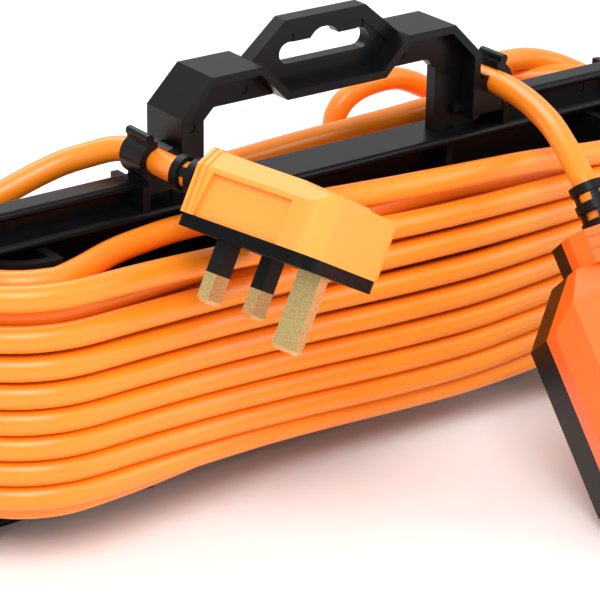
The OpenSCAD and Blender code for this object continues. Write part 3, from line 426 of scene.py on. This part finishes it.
# ---------------------------------------------------------------- settings

class LeadSizes(bpy.types.PropertyGroup):
    """Sizes of the pieces that are made here."""

    cable_diameter: bpy.props.FloatProperty(
        name="Cable diameter", description="Outer diameter of the three-core cable",
        default=0.0078, min=0.006, max=0.009, unit="LENGTH")
    cable_length: bpy.props.FloatProperty(
        name="Cable length", description="Whole length from the socket to the plug",
        default=15.0, min=10.0, max=20.0, unit="LENGTH")
    edge_round: bpy.props.FloatProperty(
        name="Edge rounding", description="Rounding of the mouldings' edges",
        default=0.0006, min=0.0, max=0.001, unit="LENGTH")


class LeadColours(bpy.types.PropertyGroup):
    """Colours of the plastics, as sRGB hex digits."""

    cable: bpy.props.StringProperty(
        name="Cable", description="Colour of the cable's sheath", default="FF8A18")
    plug: bpy.props.StringProperty(
        name="Plug cover", description="Colour of the plug's cover", default="FB9C3C")
    socket: bpy.props.StringProperty(
        name="Socket cover", description="Colour of the socket's cover", default="FF6A16")
    black: bpy.props.StringProperty(
        name="Black plastic", description="Colour of the carrier and the bases", default="0D0D0F")


# ---------------------------------------------------------------- operators

class LEAD_OT_camera(bpy.types.Operator):
    """Adds the camera"""

    bl_idname = "lead.camera"
    bl_label = "Add the camera"

    def execute(self, context):
        azimuth, elevation, roll = np.radians(CAMERA_ANGLES)
        away = np.array([np.sin(azimuth) * np.cos(elevation), -np.cos(azimuth) * np.cos(elevation),
                         np.sin(elevation)])
        level = np.array([np.cos(azimuth), np.sin(azimuth), 0.0])
        upward = np.cross(away, level)
        across = np.cos(roll) * level + np.sin(roll) * upward
        upright = np.cos(roll) * upward - np.sin(roll) * level
        place = np.eye(4)
        place[:3, 0] = across
        place[:3, 1] = upright
        place[:3, 2] = away
        place[:3, 3] = np.array(CAMERA_AIM) + CAMERA_DISTANCE * away
        data = bpy.data.cameras.new("Camera")
        data.lens = CAMERA_LENS
        data.sensor_width = 36.0
        data.sensor_fit = "HORIZONTAL"
        data.clip_start = 0.01
        camera = bpy.data.objects.new("Camera", data)
        context.scene.collection.objects.link(camera)
        camera.matrix_world = Matrix(place.tolist())
        context.scene.camera = camera
        return {"FINISHED"}


class LEAD_OT_cable(bpy.types.Operator):
    """Lays the whole cable from the socket to the plug"""

    bl_idname = "lead.cable"
    bl_label = "Lay the cable"

    def execute(self, context):
        sizes = context.scene.lead_sizes
        path = cable_route()
        length = float(np.linalg.norm(np.diff(path, axis=0), axis=1).sum())
        print("cable length", round(length, 3), "m in", len(path), "points")
        data = bpy.data.curves.new("Cable", "CURVE")
        data.dimensions = "3D"
        data.bevel_depth = sizes.cable_diameter / 2
        data.bevel_resolution = 4
        data.use_fill_caps = True
        spline = data.splines.new("POLY")
        spline.points.add(len(path) - 1)
        spline.points.foreach_set("co", np.column_stack([path, np.ones(len(path))]).ravel())
        spline.use_smooth = True
        cable = bpy.data.objects.new("Cable", data)
        context.scene.collection.objects.link(cable)
        # Extruded PVC sheath, semi-gloss and very slightly uneven
        sheath = moulded("Cable sheath, extruded PVC", context.scene.lead_colours.cable, 0.34,
                         grain_mm=1.6, grain_depth_mm=0.015, tone=0.04, subsurface=0.06, coat=0.12)
        data.materials.append(sheath)
        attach(cable, "lead")
        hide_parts("cord_winding", "cord_plug_tail", "cord_socket_tail", "cord_back_loop")
        return {"FINISHED"}


class LEAD_OT_carrier(bpy.types.Operator):
    """Finishes the carrier"""

    bl_idname = "lead.carrier"
    bl_label = "Finish the carrier"

    def execute(self, context):
        # Injection-moulded polypropylene, satin with a faint spark-eroded grain
        black = moulded("Carrier, moulded black polypropylene", context.scene.lead_colours.black, 0.3,
                        grain_mm=0.5, grain_depth_mm=0.012, tone=0.15, gloss=0.16)
        dress(black, "carrier_frame")
        soften(context.scene.lead_sizes.edge_round, "carrier_frame")
        return {"FINISHED"}


class LEAD_OT_plug(bpy.types.Operator):
    """Finishes the plug, its pins, both boots and what is inside both ends"""

    bl_idname = "lead.plug"
    bl_label = "Finish the plug"

    def execute(self, context):
        colours = context.scene.lead_colours
        # Injection-moulded urea cover with a fine matt grain
        shell = moulded("Plug cover, moulded orange plastic", colours.plug, 0.42,
                        grain_mm=0.5, grain_depth_mm=0.01, tone=0.02, subsurface=0.06)
        dress(shell, "plug_cover")
        dress(moulded("Plug base, moulded black plastic", colours.black, 0.35,
                      grain_mm=0.5, grain_depth_mm=0.01, gloss=0.1), "plug_base")
        # Machined brass, dull and speckled with tarnish
        brass = metal("Plug pins, machined brass", "EBCF92", 0.36, speckle_mm=0.4, dark="B79A5C")
        dress(brass, "live_pin", "neutral_pin", "earth_pin")
        dress(moulded("Pin sleeves, moulded black nylon", "141415", 0.35, gloss=0.16),
              "live_pin_sleeve", "neutral_pin_sleeve")
        dress(moulded("Boots, moulded black rubber", "0E0E10", 0.4,
                      grain_mm=0.4, grain_depth_mm=0.012, gloss=0.16),
              "plug_strain_relief", "socket_strain_relief")
        dress(moulded("Fuse tube, fired ceramic", "E8E2D4", 0.5), "fuse_tube")
        dress(metal("Stamped brass", "D8B464", 0.3), "fuse_clips", "live_contact", "neutral_contact",
              "earth_contact")
        dress(metal("Zinc-plated steel", "C6C9CC", 0.35), "fuse_caps", "plug_cover_screw",
              "plug_terminal_screws", "plug_grip_screws", "socket_cover_screws",
              "socket_terminal_screws", "socket_grip_screws", "shutter_spring")
        dress(moulded("Moulded white nylon", "E9E6DD", 0.45), "plug_cord_grip", "socket_cord_grip",
              "socket_shutter")
        dress(moulded("Core insulation, brown PVC", "6B3A1C", 0.4), "plug_live_core", "socket_live_core")
        dress(moulded("Core insulation, blue PVC", "2A5CA8", 0.4), "plug_neutral_core",
              "socket_neutral_core")
        dress(moulded("Core insulation, green PVC", "8DB32C", 0.4), "plug_earth_core",
              "socket_earth_core")
        soften(context.scene.lead_sizes.edge_round, "plug_cover", "plug_base")
        soften(PIN_EDGE_ROUND, "live_pin", "neutral_pin", "earth_pin")
        return {"FINISHED"}


class LEAD_OT_socket(bpy.types.Operator):
    """Finishes the trailing socket's cover and base"""

    bl_idname = "lead.socket"
    bl_label = "Finish the socket"

    def execute(self, context):
        colours = context.scene.lead_colours
        shell = moulded("Socket cover, moulded orange plastic", colours.socket, 0.36,
                        grain_mm=0.6, grain_depth_mm=0.01, tone=0.02, subsurface=0.06)
        dress(shell, "socket_cover")
        dress(moulded("Socket base, moulded black plastic", colours.black, 0.3,
                      grain_mm=0.5, grain_depth_mm=0.01, gloss=0.07), "socket_base")
        soften(context.scene.lead_sizes.edge_round, "socket_cover", "socket_base")
        return {"FINISHED"}


class LEAD_OT_stage(bpy.types.Operator):
    """Adds the floor and the studio lights"""

    bl_idname = "lead.stage"
    bl_label = "Add the floor and lights"

    def execute(self, context):
        mesh = bpy.data.meshes.new("Floor")
        corners = [(-4, -4, 0), (4, -4, 0), (4, 4, 0), (-4, 4, 0)]
        mesh.from_pydata(corners, [], [(0, 1, 2, 3)])
        floor = bpy.data.objects.new("Floor", mesh)
        # Plain white paper sweep
        mesh.materials.append(moulded("Floor, white paper", "F6F6F6", 0.9))
        context.scene.collection.objects.link(floor)
        for name, place, size, power in (
            ("Key light", (-0.55, -0.75, 1.25), 0.8, 15.0),
            ("Fill light", (0.9, -1.1, 0.8), 1.0, 7.0),
            ("Back light", (0.15, 1.0, 1.2), 0.9, 9.0),
        ):
            data = bpy.data.lights.new(name, "AREA")
            data.shape = "SQUARE"
            data.size = size
            data.energy = power
            lamp = bpy.data.objects.new(name, data)
            away = np.array(place) - np.array(LIGHT_AIM)
            away /= np.linalg.norm(away)
            side = np.cross([0.0, 0.0, 1.0], away)
            side /= np.linalg.norm(side)
            turn = np.eye(4)
            turn[:3, 0] = side
            turn[:3, 1] = np.cross(away, side)
            turn[:3, 2] = away
            turn[:3, 3] = place
            lamp.matrix_world = Matrix(turn.tolist())
            context.scene.collection.objects.link(lamp)
        world = bpy.data.worlds.new("Studio")
        world.use_nodes = True
        world.node_tree.nodes["Background"].inputs["Color"].default_value = (1.0, 1.0, 1.0, 1.0)
        world.node_tree.nodes["Background"].inputs["Strength"].default_value = 0.75
        context.scene.world = world
        context.scene.view_settings.view_transform = "Standard"
        return {"FINISHED"}


class LEAD_PT_panel(bpy.types.Panel):
    """Lists the sizes, the colours and the steps of the build"""

    bl_idname = "LEAD_PT_panel"
    bl_label = "Extension Lead"
    bl_space_type = "VIEW_3D"
    bl_region_type = "UI"
    bl_category = "Extension Lead"

    def draw(self, context):
        layout = self.layout
        for group in (context.scene.lead_sizes, context.scene.lead_colours):
            box = layout.box()
            for key in group.__annotations__:
                box.prop(group, key)
        for operator in OPERATORS:
            layout.operator(operator.bl_idname)


OPERATORS = (LEAD_OT_camera, LEAD_OT_cable, LEAD_OT_carrier, LEAD_OT_plug, LEAD_OT_socket, LEAD_OT_stage)
CLASSES = (LeadSizes, LeadColours, *OPERATORS, LEAD_PT_panel)


def register():
    for cls in CLASSES:
        bpy.utils.register_class(cls)
    bpy.types.Scene.lead_sizes = bpy.props.PointerProperty(type=LeadSizes)
    bpy.types.Scene.lead_colours = bpy.props.PointerProperty(type=LeadColours)


def unregister():
    del bpy.types.Scene.lead_colours
    del bpy.types.Scene.lead_sizes
    for cls in reversed(CLASSES):
        bpy.utils.unregister_class(cls)


def main():
    """Builds the whole scene."""
    register()
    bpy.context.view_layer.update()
    bpy.ops.lead.camera()
    bpy.ops.lead.cable()
    bpy.ops.lead.carrier()
    bpy.ops.lead.plug()
    bpy.ops.lead.socket()
    bpy.ops.lead.stage()


if __name__ == "__main__":
    main()
